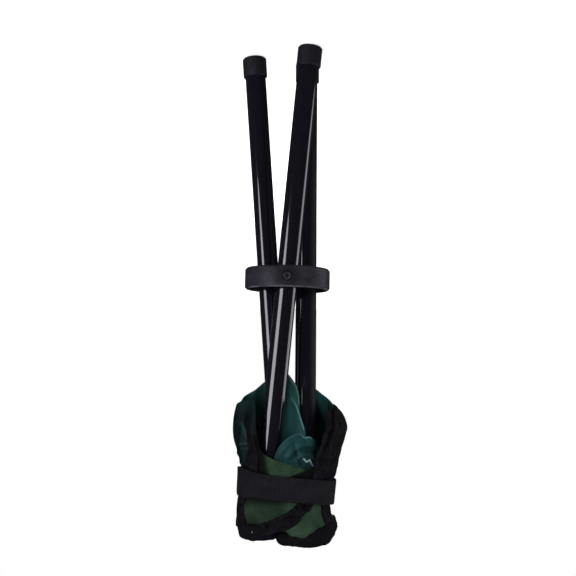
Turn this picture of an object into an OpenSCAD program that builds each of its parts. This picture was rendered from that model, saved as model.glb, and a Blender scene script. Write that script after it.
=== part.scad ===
/* [Legs] */
// Outer radius of a leg tube
tube_r = 11; // [9:0.5:12]
// Wall of a leg tube
tube_wall = 1.2; // [0.8:0.1:2]
// Pivot to the sole of the foot cap, along the leg
foot_reach = 242.9; // [200:1:300]
// Pivot to the seat end of the tube, along the leg
seat_reach = 258; // [256:1:261]
// Radius at which the legs pass through the hub ring
leg_r = 22.95; // [21:0.5:24]
// Direction of the front leg, seen from above
front_angle = -89.5; // [-95:0.5:-85]
// Swing of the front leg when folded
front_swing = 4.45; // [4:0.05:5]
// Swing of the right leg when folded
right_swing = 2.36; // [2:0.05:3]
// Swing of the left leg when folded
left_swing = 3.82; // [3.5:0.05:4.2]
// Inward lean of the front leg
front_lean = 1.03; // [0.5:0.05:1.5]
// Inward lean of the right leg
right_lean = 4.53; // [4:0.05:4.8]
// Inward lean of the left leg
left_lean = 1.32; // [1:0.05:1.8]

/* [Foot caps and plugs] */
// Outer radius of a foot cap
cap_r = 12.8; // [12.5:0.1:15]
// Length of a foot cap
cap_len = 21; // [15:1:30]
// Thickness of the sole
sole_t = 3; // [2:0.5:6]
// Bevel around the sole
sole_bevel = 1.4; // [0.5:0.1:2]
// Bevel around the cap's mouth
mouth_bevel = 0.8; // [0.3:0.1:1]
// Gap between a cap or a plug and its tube
press_gap = 0.05; // [0.03:0.01:0.1]
// Length of the plug's stem inside the tube
plug_stem = 12; // [6:1:20]
// Height of the plug's head above the tube
plug_head = 2.4; // [1:0.2:3]

/* [Hub ring] */
// Outer radius of the hub ring
ring_r = 44.5; // [43:0.5:48]
// Wall of the hub ring
ring_wall = 4; // [3.6:0.1:5]
// Height of the hub ring
ring_h = 22; // [20:1:28]
// Bevel around the ring's outer edges
ring_bevel = 1.8; // [0.5:0.1:2]
// Radius of the boss behind each screw
boss_r = 9; // [8.5:0.5:9.5]
// Side of the leg tube to the boss's face
boss_gap = 2.35; // [2.25:0.05:2.8]
// Radius of the saddle between boss and tube
saddle_r = 8.2; // [7:0.1:8.5]
// Depth of the saddle's arms around the tube
saddle_grip = 4; // [3:0.5:5]
// Gap between the faces that swing past each other
swing_gap = 0.2; // [0.15:0.05:0.3]

/* [Screws] */
// Radius of a pivot screw
screw_r = 2.5; // [2:0.1:3]
// Running gap around a screw
screw_gap = 0.06; // [0.03:0.01:0.1]
// Radius of the screw's head
head_r = 4.7; // [4:0.1:5.2]
// Height of the screw's head
head_h = 2.2; // [1.8:0.1:2.6]
// Gap around the head in its recess
recess_gap = 0.5; // [0.2:0.1:1]
// Depth of the head below the ring's face
head_sink = 0.3; // [0:0.1:0.6]
// Width of the cross slot
slot_w = 1.1; // [0.8:0.1:1.4]
// Length of the cross slot
slot_len = 5; // [3:0.5:6]
// Depth of the cross slot
slot_depth = 1.2; // [0.8:0.1:1.4]
// Radius of the washer
washer_r = 4.6; // [4.4:0.1:5]
// Thickness of the washer
washer_t = 0.8; // [0.6:0.1:1]
// Nut across its flats
nut_flats = 8; // [7:0.1:8.6]
// Height of the nut
nut_h = 3.6; // [3:0.2:3.8]
// Screw that stands past the nut
screw_past = 0.8; // [0.4:0.1:1]

/* [Corner pockets] */
// Gap between a pocket and its tube
pocket_gap = 0.3; // [0.2:0.05:0.4]
// Wall of a pocket's sleeve
pocket_wall = 1; // [0.8:0.05:1.1]
// Length of a pocket's sleeve
pocket_len = 52; // [40:1:53]
// Half thickness of the front pocket's padded end
front_pad = 6; // [5:0.5:6.5]
// Half thickness of the right pocket's padded end
right_pad = 6; // [5:0.5:6.5]
// Half thickness of the left pocket's padded end
left_pad = 9; // [7.5:0.5:9]
// Underside of the padded ends below the legs' seat ends
pad_drop = 5.4; // [4.5:0.1:6]
// Depth of the pockets' padding inside the cloth
pad_depth = 14; // [8:1:20]

/* [Seat cloth] */
// Thickness of the coated cloth with its hem
cloth_t = 1.6; // [1.2:0.1:2]
// Depth of the folds at the loose edge
fold_loose = 2.6; // [0:0.2:3]
// Depth of the folds under the strap
fold_tight = 0.5; // [0:0.1:0.8]
// Squareness of the bundle, with 2 for an ellipse
bundle_square = 2.3; // [2.1:0.1:2.5]
// Width of an edge binding
binding_w = 13; // [8:1:15]
// Thickness of an edge binding
binding_t = 1.4; // [1:0.1:1.6]
// Width of the closure strap
strap_w = 25; // [20:1:28]
// Thickness of the closure strap
strap_t = 1.8; // [1.4:0.1:2]
// Width of the strap's grip patch
patch_w = 21; // [16:1:21]
// Thickness of the strap's grip patch
patch_t = 0.8; // [0.6:0.1:1]
// Gap between soft layers
layer_gap = 0.5; // [0.4:0.05:0.6]

/* [Place] */
// Hub axis to the middle of the folded stool, left to right
hub_x = 4.4; // [0:0.2:8]
// Hub axis to the middle of the folded stool, front to back
hub_y = 0; // [-4:0.2:4]

/* [Hidden] */
LEGS = ["front", "right", "left"];
$fn = 40;

swing = [front_swing, right_swing, left_swing];
lean = [front_lean, right_lean, left_lean];
bore_r = tube_r - tube_wall;
leg_side = leg_r + tube_r;
boss_face = leg_side + boss_gap;
boss_wall = ring_r - ring_wall;
head_seat = ring_r - head_sink - head_h;
upright = [for (i = [0:2]) cos(swing[i]) * cos(lean[i])];
aslant = [for (c = upright) sqrt(1 - c * c)];
sole_r = cap_r - sole_bevel;
ring_z = max([for (i = [0:2]) foot_reach * upright[i] + sole_r * aslant[i]]);
washer_face = [for (a = lean) leg_r - tube_r / cos(a) - washer_r * tan(a) - swing_gap];
pocket_r = tube_r + pocket_gap + pocket_wall;
pocket_top = seat_reach + plug_head + pocket_gap;
pocket_mouth = seat_reach - pocket_len;

// Bundle of the folded cloth: how far it stands out past the legs at each height above the ring
right_side = [[105, 8], [130, 13], [158, 17], [185, 12], [212, 11], [240, 11.5], [262, 11]];
left_side = [[105, 10], [130, 20], [158, 30], [185, 23], [212, 19], [235, 18], [250, 21.5]];
front_side = [[105, 0], [130, 3], [158, 6], [185, 5], [212, 3], [240, 3], [262, 3]];
back_side = [[105, 3], [130, 6], [158, 6], [185, 2], [212, -1], [240, -1], [262, 0]];
fold_depth = [[105, fold_loose], [170, fold_loose], [200, fold_tight], [225, fold_tight], [250, 1]];
// Loose edge of the cloth: height above the ring by the angle around the bundle
loose_edge = [
    [0, 128], [30, 118], [60, 108], [90, 112], [130, 116], [150, 125], [170, 131], [195, 134],
    [208, 139], [216, 150], [222, 168], [230, 180], [245, 193], [270, 186], [296, 176],
    [302, 170], [308, 152], [316, 147], [332, 145], [345, 138], [360, 128]
];
cloth_steps = 44;
cloth_rows = 8;
strap_steps = 48;
strap_mid = 212;
strap_rise = 5;
strap_start = 60;
strap_lap = 50;
strap_climb = 30;
strap_in = binding_t + 2 * layer_gap;
patch_in = strap_in + strap_t + layer_gap;
lap_in = patch_in + patch_t + layer_gap;
// Mean radius of the bundle
bundle_r = leg_side + 10;

// Each binding runs along the cloth by the angle around the bundle and the height above the ring
binding_path = [
    [[290, 246], [266, 238], [244, 226], [232, 211], [230, 197], [230, 184]],
    [[313, 152], [311, 166], [310, 183], [317, 205], [331, 226], [338, 245]],
    [[197, 140], [207, 150], [211, 164], [212, 182], [205, 205], [198, 226], [194, 245]]
];

// Middles of the rounded corners of each pocket's padded end, from the hub axis
pad_corners = [
    [[36, 8], [39, -4], [39, -25], [30, -31], [13.5, -31], [12, -14]],
    [[-22, 25], [-4, 28.5], [19, 28], [27, 22], [1, 4]],
    [[-2.6, -29], [-28, -29.5], [-42, -23], [-47, -10], [-46.5, 1], [-38, 12], [-14, -9]]
];
pad_r = [front_pad, right_pad, left_pad];
pad_low = seat_reach - pad_drop;
cloth_top = pad_low - layer_gap;
// The padding inside the cloth is drawn in towards the hub axis
pad_draw = 0.84;
pad_round = 3;

// Tongue of cloth that is folded in between the legs: its ends and its line, seen from above
tongue_left = [[103, -6], [122, -14], [158, -22], [174, -27], [184, -45], [190, -48.4], [204, -48.4]];
tongue_right = [[103, 1], [122, 8], [204, 8]];
tongue_line = [[-50, -20], [-40, -19.8], [-30, -18], [-22, -15.4], [-10, -11.2], [0, -8.8], [8, -5.8]];
tongue_tilt = 0.015;
tongue_rows = 9;
tongue_cols = 8;
// Rolled hem inside the front edge: its lower edge by the place across the hub axis
roll_edge = [[-39, 168], [-30, 160], [-16, 157], [-6, 164], [0, 176]];
roll_top = 206;
roll_stand = 5;
roll_bulge = 5;
roll_rows = 5;
roll_cols = 8;

// Places a piece of one leg at its pivot, with the screw's axis along x
module at_pivot(i) {
    translate([hub_x, hub_y, ring_z])
        rotate([0, 0, front_angle + 120 * i])
            translate([leg_r, 0, 0])
                rotate([-swing[i], 0, 0])
                    children();
}

// Places a piece of one leg with the tube along z
module along_leg(i) {
    at_pivot(i)
        rotate([0, -lean[i], 0])
            children();
}

// Places a hub piece on one screw's axis, which runs outwards along x
module on_screw(i) {
    translate([hub_x, hub_y, ring_z])
        rotate([0, 0, front_angle + 120 * i])
            children();
}

// Round bar along x
module bar(r, from, to) {
    translate([from, 0, 0])
        rotate([0, 90, 0])
            cylinder(r = r, h = to - from);
}

// Round bar along z
module post(r, from, to) {
    translate([0, 0, from])
        cylinder(r = r, h = to - from);
}

module hub_ring() {
    color("#242329")
    difference() {
        union() {
            translate([hub_x, hub_y, ring_z])
                rotate_extrude($fn = 96)
                    polygon([
                        [boss_wall, -ring_h / 2],
                        [ring_r - ring_bevel, -ring_h / 2],
                        [ring_r, -ring_h / 2 + ring_bevel],
                        [ring_r, ring_h / 2 - ring_bevel],
                        [ring_r - ring_bevel, ring_h / 2],
                        [boss_wall, ring_h / 2]
                    ]);
            for (i = [0:2]) on_screw(i) bar(boss_r, boss_face, boss_wall + ring_wall / 4);
        }
        for (i = [0:2]) on_screw(i) {
            bar(screw_r + screw_gap, boss_face - 1, ring_r + 1);
            bar(head_r + recess_gap, head_seat, ring_r + 1);
        }
    }
}

module leg_tube(i) {
    color("#0b0b0f")
    difference() {
        along_leg(i)
            difference() {
                post(tube_r, sole_t - foot_reach, seat_reach);
                post(bore_r, sole_t - foot_reach - 1, seat_reach + 1);
            }
        at_pivot(i) bar(screw_r + screw_gap, -tube_r * 1.5, tube_r * 1.5);
    }
}

module foot_cap(i) {
    color("#1c1b20")
    along_leg(i)
        translate([0, 0, -foot_reach])
            rotate_extrude()
                polygon([
                    [0, 0],
                    [sole_r, 0],
                    [cap_r, sole_bevel],
                    [cap_r, cap_len - mouth_bevel],
                    [cap_r - mouth_bevel, cap_len],
                    [tube_r + press_gap, cap_len],
                    [tube_r + press_gap, sole_t],
                    [0, sole_t]
                ]);
}

module top_plug(i) {
    color("#17171b")
    along_leg(i)
        translate([0, 0, seat_reach])
            rotate_extrude()
                polygon([
                    [0, -plug_stem],
                    [bore_r - press_gap - 1, -plug_stem],
                    [bore_r - press_gap, 1 - plug_stem],
                    [bore_r - press_gap, 0],
                    [tube_r, 0],
                    [tube_r, plug_head / 2],
                    [tube_r - plug_head / 2, plug_head],
                    [0, plug_head]
                ]);
}

module leg_saddle(i) {
    saddle_face = boss_face - leg_r - swing_gap;
    color("#1d1c21")
    difference() {
        at_pivot(i)
            difference() {
                bar(saddle_r, tube_r - saddle_grip, saddle_face);
                bar(screw_r + screw_gap, 0, saddle_face + 1);
            }
        along_leg(i) post(tube_r + press_gap, -2 * tube_r, 2 * tube_r);
    }
}

module pivot_screw(i) {
    tip = washer_face[i] - washer_t - nut_h - screw_past;
    color("#8d8f92")
    on_screw(i)
        difference() {
            union() {
                bar(screw_r, tip, head_seat + head_h / 2);
                bar(head_r, head_seat, head_seat + head_h / 2);
                translate([head_seat + head_h / 2, 0, 0])
                    rotate([0, 90, 0])
                        cylinder(r1 = head_r, r2 = head_r - head_h / 2, h = head_h / 2);
            }
            for (turn = [0, 90])
                translate([head_seat + head_h, 0, 0])
                    rotate([turn, 0, 0])
                        cube([2 * slot_depth, slot_len, slot_w], center = true);
        }
}

module pivot_washer(i) {
    color("#9fa1a4")
    on_screw(i)
        difference() {
            bar(washer_r, washer_face[i] - washer_t, washer_face[i]);
            bar(screw_r + screw_gap, 0, washer_face[i] + 1);
        }
}

module pivot_nut(i) {
    nut_face = washer_face[i] - washer_t;
    color("#9fa1a4")
    on_screw(i)
        difference() {
            translate([nut_face - nut_h, 0, 0])
                rotate([0, 90, 0])
                    cylinder(d = nut_flats / cos(30), h = nut_h, $fn = 6);
            bar(screw_r + screw_gap, 0, nut_face + 1);
        }
}

// Sleeve over the seat end of a leg, closed by the padded corner of the seat
module corner_pocket(i) {
    color("#141318")
    difference() {
        union() {
            along_leg(i) post(pocket_r, pocket_mouth, pocket_top + pocket_wall);
            translate([hub_x, hub_y, ring_z]) {
                hull()
                    for (p = pad_corners[i])
                        translate([p.x, p.y, pad_low + pad_r[i]]) sphere(r = pad_r[i], $fn = 24);
                hull()
                    for (p = pad_corners[i])
                        translate([p.x, p.y, 0] * pad_draw + [0, 0, pad_low - pad_depth])
                            cylinder(r = pad_round, h = pad_depth + pad_r[i], $fn = 24);
            }
        }
        along_leg(i) post(tube_r + pocket_gap, pocket_mouth - 1, pocket_top);
    }
}

function fold(u, z) =
    lookup(z, fold_depth) * (0.7 * sin(5 * u + 40 + 0.5 * z) + 0.4 * sin(9 * u - 1.1 * z));
function rounded(c) = sign(c) * pow(abs(c), 2 / bundle_square);

// Point on the bundle, out from the cloth's outer face by the given distance
function on_bundle(u, z, out) =
    let (
        c = cos(u),
        s = sin(u),
        wide = leg_side + lookup(z, c > 0 ? right_side : left_side),
        deep = leg_side + lookup(z, s > 0 ? back_side : front_side),
        push = fold(u, z) + out
    )
    [
        hub_x + wide * rounded(c) + push * c,
        hub_y + deep * rounded(s) + push * s,
        ring_z + z
    ];

function around(u) = u - 360 * floor(u / 360);
function triangles(a, b, c, d) = [[a, b, c], [a, c, d]];

// Closed solid between an outer and an inner grid of points, row by row from below
module between(outer, inner, closed = false) {
    rows = len(outer);
    cols = len(outer[0]);
    last = closed ? cols - 1 : cols - 2;
    shift = rows * cols;
    function o(r, c) = r * cols + c % cols;
    function n(r, c) = shift + o(r, c);
    skin = [
        for (r = [0:rows - 2]) for (c = [0:last]) each concat(
            triangles(o(r, c), o(r + 1, c), o(r + 1, c + 1), o(r, c + 1)),
            triangles(n(r, c), n(r, c + 1), n(r + 1, c + 1), n(r + 1, c))
        )
    ];
    edges = [
        for (c = [0:last]) each concat(
            triangles(o(0, c), o(0, c + 1), n(0, c + 1), n(0, c)),
            triangles(o(rows - 1, c + 1), o(rows - 1, c), n(rows - 1, c), n(rows - 1, c + 1))
        )
    ];
    sides = closed ? [] : [
        for (r = [0:rows - 2]) each concat(
            triangles(o(r + 1, 0), o(r, 0), n(r, 0), n(r + 1, 0)),
            triangles(o(r, cols - 1), o(r + 1, cols - 1), n(r + 1, cols - 1), n(r, cols - 1))
        )
    ];
    polyhedron(
        points = concat([for (row = outer) each row], [for (row = inner) each row]),
        faces = concat(skin, edges, sides)
    );
}

// Wall of cloth that hangs around the leg tops
module cloth_wall() {
    function grid(out) = [
        for (r = [0:cloth_rows])
            [
                for (c = [0:cloth_steps - 1])
                    let (
                        u = 360 * c / cloth_steps,
                        low = lookup(u, loose_edge),
                        z = low + (cloth_top - low) * r / cloth_rows
                    )
                    on_bundle(u, z, out)
            ]
    ];
    between(grid(0), grid(-cloth_t), closed = true);
}

// Tongue of cloth between the front leg and the left leg
module cloth_tongue() {
    low = tongue_left[0][0];
    high = tongue_left[len(tongue_left) - 1][0];
    function grid(out) = [
        for (r = [0:tongue_rows])
            [
                for (c = [0:tongue_cols])
                    let (
                        z = low + (high - low) * r / tongue_rows,
                        from = lookup(z, tongue_left),
                        x = from + (lookup(z, tongue_right) - from) * c / tongue_cols
                    )
                    [
                        hub_x + x,
                        hub_y + lookup(x, tongue_line) + tongue_tilt * (high - z) + out,
                        ring_z + z
                    ]
            ]
    ];
    between(grid(-cloth_t / 2), grid(cloth_t / 2));
}

// Front face of the bundle at a place across the hub axis
function front_face(x, z) =
    let (
        wide = leg_side + lookup(z, x > 0 ? right_side : left_side),
        deep = leg_side + lookup(z, front_side)
    )
    -deep * pow(1 - pow(abs(x) / wide, bundle_square), 1 / bundle_square);

// Rolled hem that stands in from the front edge beside the front leg and joins the wall above
module cloth_roll() {
    first = roll_edge[0][0];
    last = roll_edge[len(roll_edge) - 1][0];
    function grid(out) = [
        for (r = [0:roll_rows])
            [
                for (c = [0:roll_cols])
                    let (
                        x = first + (last - first) * c / roll_cols,
                        low = lookup(x, roll_edge),
                        t = r / roll_rows,
                        z = low + (roll_top - low) * t,
                        stand = (1 - t) * (roll_stand + roll_bulge * sin(180 * c / roll_cols))
                    )
                    [hub_x + x, hub_y + front_face(x, z) + stand + out, ring_z + z]
            ]
    ];
    between(grid(cloth_t / 4), grid(cloth_t * 5 / 4));
}

module seat_cloth() {
    color("#2f5a3c")
    union() {
        cloth_wall();
        cloth_tongue();
        cloth_roll();
    }
}

// Tape sewn over one edge of the seat
module edge_binding(i) {
    path = binding_path[i];
    part_steps = 3;
    steps = part_steps * (len(path) - 1);
    across = 3;
    function at(k) =
        let (a = min(floor(k / part_steps), len(path) - 2), t = k / part_steps - a)
        path[a] * (1 - t) + path[a + 1] * t;
    function along(k) =
        let (d = at(min(k + 1, steps)) - at(max(k - 1, 0)), s = [d.x * bundle_r * PI / 180, d.y])
        s / norm(s);
    function grid(out) = [
        for (k = [0:steps])
            [
                for (c = [0:across])
                    let (
                        w = binding_w * (c / across - 0.5),
                        side = along(k),
                        u = at(k).x + w * side.y * 180 / PI / bundle_r,
                        z = at(k).y - w * side.x
                    )
                    on_bundle(u, z, out)
            ]
    ];
    color("#121014") between(grid(layer_gap + binding_t), grid(layer_gap));
}

// Band along the strap's line between two angles, with its distance from the cloth by the angle
module band(from, to, steps, reach, thick, width) {
    function grid(extra) = [
        for (side = [-1, 1])
            [
                for (c = [0:steps])
                    let (
                        u = from + (to - from) * c / steps,
                        z = strap_mid - strap_rise * cos(u) + side * width / 2
                    )
                    on_bundle(around(u), z, lookup(u, reach) + extra)
            ]
    ];
    between(grid(thick), grid(0));
}

module closure_strap() {
    end = strap_start + 360;
    reach = [[strap_start, strap_in], [end - strap_climb, strap_in], [end, lap_in]];
    color("#1f1d24") band(strap_start, end + strap_lap, strap_steps, reach, strap_t, strap_w);
}

module strap_grip_patch() {
    color("#0f0e12")
        band(strap_start + 10, strap_start + strap_lap, 5, [[0, patch_in]], patch_t, patch_w);
}

hub_ring();
for (i = [0:2]) {
    leg_tube(i);
    foot_cap(i);
    top_plug(i);
    leg_saddle(i);
    pivot_screw(i);
    pivot_washer(i);
    pivot_nut(i);
    corner_pocket(i);
    edge_binding(i);
}
seat_cloth();
closure_strap();
strap_grip_patch();
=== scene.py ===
import math

import bmesh
import bpy
from mathutils import Matrix, Vector, noise


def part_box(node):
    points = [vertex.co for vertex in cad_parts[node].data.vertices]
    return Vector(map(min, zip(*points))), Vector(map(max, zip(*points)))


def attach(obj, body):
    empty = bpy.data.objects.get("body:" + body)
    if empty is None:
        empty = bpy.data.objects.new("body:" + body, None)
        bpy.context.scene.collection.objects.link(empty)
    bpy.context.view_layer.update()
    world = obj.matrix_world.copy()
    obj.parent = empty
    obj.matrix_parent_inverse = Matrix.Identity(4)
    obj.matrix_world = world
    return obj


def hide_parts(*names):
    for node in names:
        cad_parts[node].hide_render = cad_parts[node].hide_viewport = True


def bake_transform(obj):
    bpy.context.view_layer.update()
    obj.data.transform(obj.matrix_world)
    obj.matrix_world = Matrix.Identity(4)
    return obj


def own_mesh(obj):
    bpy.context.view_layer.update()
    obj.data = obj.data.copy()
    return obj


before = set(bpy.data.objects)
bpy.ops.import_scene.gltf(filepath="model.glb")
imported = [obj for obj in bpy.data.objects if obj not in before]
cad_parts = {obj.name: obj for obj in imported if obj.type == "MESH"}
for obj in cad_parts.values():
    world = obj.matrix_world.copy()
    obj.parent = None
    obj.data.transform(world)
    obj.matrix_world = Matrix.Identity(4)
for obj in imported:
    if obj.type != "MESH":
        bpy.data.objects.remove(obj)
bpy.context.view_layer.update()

# Leg tubes: three straight steel tubes of 22 mm with a thin wall, drilled across for their pivot
# screws and coated in gloss black powder. The two rear ones are rubbed dull on their left sides.
SIDES = ("front", "right", "left")


class Finish:
    """A surface finish that is put together from shader nodes."""

    def __init__(self, name, colour, roughness, specular=0.5, coat=0.0):
        self.material = bpy.data.materials.new(name)
        self.material.use_nodes = True
        self.tree = self.material.node_tree
        self.shader = self.tree.nodes["Principled BSDF"]
        self.shader.inputs["Base Color"].default_value = (*colour, 1)
        self.shader.inputs["Roughness"].default_value = roughness
        self.shader.inputs["Specular IOR Level"].default_value = specular
        self.shader.inputs["Coat Weight"].default_value = coat
        self.shader.inputs["Coat Roughness"].default_value = 0.12

    def add(self, kind, inputs=None, **settings):
        made = self.tree.nodes.new("ShaderNode" + kind)
        for key, value in settings.items():
            setattr(made, key, value)
        for key, value in (inputs or {}).items():
            if isinstance(value, bpy.types.NodeSocket):
                self.tree.links.new(value, made.inputs[key])
            else:
                made.inputs[key].default_value = value
        return made

    def place(self, scale=(1, 1, 1), kind="Object"):
        source = self.add("TexCoord").outputs[kind]
        return self.add("Mapping", {"Vector": source, "Scale": scale}).outputs[0]

    def split(self, kind="Object"):
        return self.add("SeparateXYZ", {0: self.place(kind=kind)}).outputs

    def distance(self, point):
        return self.add("VectorMath", {0: self.place(), 1: point}, operation="DISTANCE").outputs["Value"]

    def share(self, name):
        """A share that the mesh keeps for each of its points."""
        return self.add("Attribute", attribute_name=name).outputs["Fac"]

    def cloud(self, size, detail, rough=0.5, scale=(1, 1, 1), kind="Object"):
        inputs = {"Vector": self.place(scale, kind), "Scale": size, "Detail": detail, "Roughness": rough}
        return self.add("TexNoise", inputs).outputs["Fac"]

    def maths(self, operation, *values):
        return self.add("Math", dict(enumerate(values)), operation=operation).outputs[0]

    def between(self, value, low, high, to_low=0.0, to_high=1.0):
        return self.add("MapRange", {0: value, 1: low, 2: high, 3: to_low, 4: to_high}).outputs[0]

    def mix(self, share, *tones):
        first, second = (t if isinstance(t, bpy.types.NodeSocket) else (*t, 1) for t in tones)
        return self.add("Mix", {0: share, 6: first, 7: second}, data_type="RGBA").outputs[2]

    def join(self, socket, name):
        self.tree.links.new(socket, self.shader.inputs[name])

    def relief(self, *layers):
        """Joins bumps, each a height socket with its depth in metres."""
        normal = None
        for height, depth in layers:
            inputs = {"Height": height, "Distance": depth, "Strength": 1.0}
            if normal is not None:
                inputs["Normal"] = normal
            normal = self.add("Bump", inputs).outputs[0]
        self.join(normal, "Normal")


def dress(node, finish):
    """Gives a CAD node's mesh its finish."""
    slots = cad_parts[node].data.materials
    if not slots:
        slots.append(finish.material)
    for i in range(len(slots)):
        slots[i] = finish.material


COAT, GLOSS = 0.6, 0.5
powder = Finish("gloss_black_powder", (0.004, 0.0037, 0.006), 0.17, specular=GLOSS, coat=COAT)
streaks = powder.cloud(260, 4, scale=(1, 1, 0.06))
scuffs = powder.between(powder.cloud(95, 6, 0.7, scale=(1, 1, 0.35)), 0.62, 0.72)
faint_scuffs = powder.maths("MULTIPLY", scuffs, 0.35)
powder.join(powder.mix(faint_scuffs, (0.0036, 0.0032, 0.0056), (0.02, 0.02, 0.024)), "Base Color")
across, back, height = powder.split()
rear_tubes = powder.between(back, -0.015, -0.011)
left_tube_side = powder.between(across, -0.016, -0.0205)
right_tube_axis = powder.between(height, 0.001, 0.485, 0.0458, 0.0026)
from_axis = powder.maths("SUBTRACT", across, right_tube_axis)
right_of_middle = powder.between(across, 0.001, 0.004)
right_tube_side = powder.maths("MULTIPLY", powder.between(from_axis, -0.0045, -0.0065), right_of_middle)
left_sides = powder.maths("MAXIMUM", left_tube_side, right_tube_side)
rubbed_dull = powder.maths("MULTIPLY", left_sides, rear_tubes)
fine_wear = powder.maths(
    "ADD", powder.maths("MULTIPLY", streaks, 0.07), powder.maths("MULTIPLY", scuffs, 0.14)
)
powder.join(powder.maths("ADD", fine_wear, powder.maths("MULTIPLY", rubbed_dull, 0.5)), "Roughness")
powder.join(powder.between(rubbed_dull, 0, 1, COAT, 0.0), "Coat Weight")
powder.join(powder.between(rubbed_dull, 0, 1, GLOSS, 0.1), "Specular IOR Level")
powder.relief((powder.cloud(900, 2), 0.000004), (powder.cloud(140, 2), 0.00001))
for side in SIDES:
    dress(f"leg_tube_{side}", powder)

# Foot caps: moulded plastic cups pressed over the tubes' lower ends, satin black with a fine
# grain and scuffed soles.
cap = Finish("satin_cap_plastic", (0.009, 0.0088, 0.0115), 0.5, specular=0.24)
cap_wear = cap.between(cap.cloud(70, 6, 0.65, scale=(1, 1, 0.4)), 0.55, 0.75)
cap.join(cap.mix(cap_wear, (0.0082, 0.008, 0.0105), (0.018, 0.0175, 0.021)), "Base Color")
cap.join(cap.between(cap.cloud(210, 4), 0.3, 0.7, 0.4, 0.6), "Roughness")
cap.relief((cap.cloud(1500, 3), 0.00005), (cap.cloud(90, 2), 0.00004))
for side in SIDES:
    dress(f"foot_cap_{side}", cap)

# Top plugs: black plastic stoppers pushed into the tubes' seat ends, so that their cut edges
# don't wear through the pockets that hide them.
plug = Finish("black_plug_plastic", (0.011, 0.011, 0.012), 0.55, specular=0.3)
plug.join(plug.mix(plug.cloud(160, 4), (0.008, 0.008, 0.009), (0.018, 0.018, 0.02)), "Base Color")
plug.relief((plug.cloud(1300, 2), 0.00005))
for side in SIDES:
    dress(f"top_plug_{side}", plug)

# Hub ring: one moulded nylon band that the three legs hang in. Its face has the fine lines of
# its mould, painted shade about the screws, and a painted highlight along its upper edge.
HEADS_OUT = 0.0442


def middle_of(node):
    low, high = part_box(node)
    return (Vector(low) + Vector(high)) / 2


ring_middle = middle_of("hub_ring")
ring_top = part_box("hub_ring")[1][2]
nylon = Finish("moulded_nylon", (0.01, 0.0097, 0.0135), 0.42, specular=0.14)
lines = nylon.cloud(1500, 3, scale=(0.09, 0.09, 1))
rubbed = nylon.between(nylon.cloud(38, 5, 0.62, scale=(1, 1, 2)), 0.42, 0.72)
ring_tone = nylon.mix(rubbed, (0.0085, 0.0082, 0.0112), (0.021, 0.02, 0.0265))
ring_tone = nylon.mix(nylon.between(lines, 0.5, 0.62, 0, 0.22), ring_tone, (0.036, 0.035, 0.043))
# Painted shade: the nylon is darkened round each screw head.
painted_shade_by_screws = 0
for side in SIDES:
    way_out = (middle_of(f"pivot_screw_{side}") - ring_middle).normalized()
    from_head = nylon.distance(ring_middle + way_out * HEADS_OUT)
    painted_shade_by_screws = nylon.maths("MAXIMUM", painted_shade_by_screws, nylon.between(from_head, 0.016, 0.008, 0.0, 0.55))
ring_tone = nylon.mix(painted_shade_by_screws, ring_tone, (0.0055, 0.0053, 0.0072))
# Painted highlight: a broken lighter line along the ring's upper edge.
upper_edge = nylon.between(nylon.split()[2], ring_top - 0.0016, ring_top - 0.0008)
upper_edge_highlight = nylon.maths("MULTIPLY", upper_edge, nylon.between(nylon.cloud(30, 3), 0.45, 0.6))
nylon.join(nylon.mix(upper_edge_highlight, ring_tone, (0.075, 0.073, 0.085)), "Base Color")
nylon.join(nylon.between(nylon.cloud(420, 4, scale=(0.3, 0.3, 1)), 0.3, 0.7, 0.34, 0.56), "Roughness")
nylon.relief((lines, 0.00009), (nylon.cloud(1100, 3), 0.00004))
dress("hub_ring", nylon)

# Leg saddles: short nylon cradles between the ring's bosses and the tubes, which let each tube
# swing flat. They are moulded like the foot caps and share their finish.
for side in SIDES:
    dress(f"leg_saddle_{side}", cap)

# Pivot screws, washers and nuts: plated steel, one set through each tube into its boss. The
# heads are tarnished, with painted shade in their cross recess.
steel = Finish("dark_plated_steel", (0.05, 0.05, 0.055), 0.38)
steel.shader.inputs["Metallic"].default_value = 0.5
tarnish = steel.between(steel.cloud(420, 5, 0.6), 0.35, 0.7)
# Painted shade: the cross recess of each head is darkened to near black.
recess_shade = steel.between(steel.distance(ring_middle), HEADS_OUT - 0.0001, HEADS_OUT - 0.0008)
head_tone = steel.mix(tarnish, (0.008, 0.008, 0.01), (0.085, 0.083, 0.095))
steel.join(steel.mix(recess_shade, head_tone, (0.0015, 0.0015, 0.0018)), "Base Color")
steel.join(steel.between(steel.cloud(900, 3), 0.3, 0.7, 0.28, 0.55), "Roughness")
steel.relief((steel.cloud(2600, 2), 0.00003))
zinc = Finish("zinc_plated_steel", (0.42, 0.42, 0.43), 0.35)
zinc.shader.inputs["Metallic"].default_value = 1.0
zinc.join(zinc.mix(zinc.cloud(500, 5), (0.3, 0.3, 0.31), (0.5, 0.5, 0.5)), "Base Color")
zinc.join(zinc.between(zinc.cloud(1200, 3), 0.3, 0.7, 0.28, 0.5), "Roughness")
for side in SIDES:
    dress(f"pivot_screw_{side}", steel)
    dress(f"pivot_washer_{side}", zinc)
    dress(f"pivot_nut_{side}", zinc)

# Seat cloth: a triangle of woven polyester, green outside and coated teal inside. Folded, it
# hangs around the leg tops as a loose wall, with its lower edge free.
HUB = Vector((0.0044, 0, 0.2430995))
# Half the width of the bundled legs in mm, and how square the bundle is
LEG_SIDE = 33.95
SQUARE = 2.3
# Heights over the ring in mm, and how far the strap lies askew
SEAT_TOP = 252
STRAP_HEIGHT, STRAP_TILT = 212, 5
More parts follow.
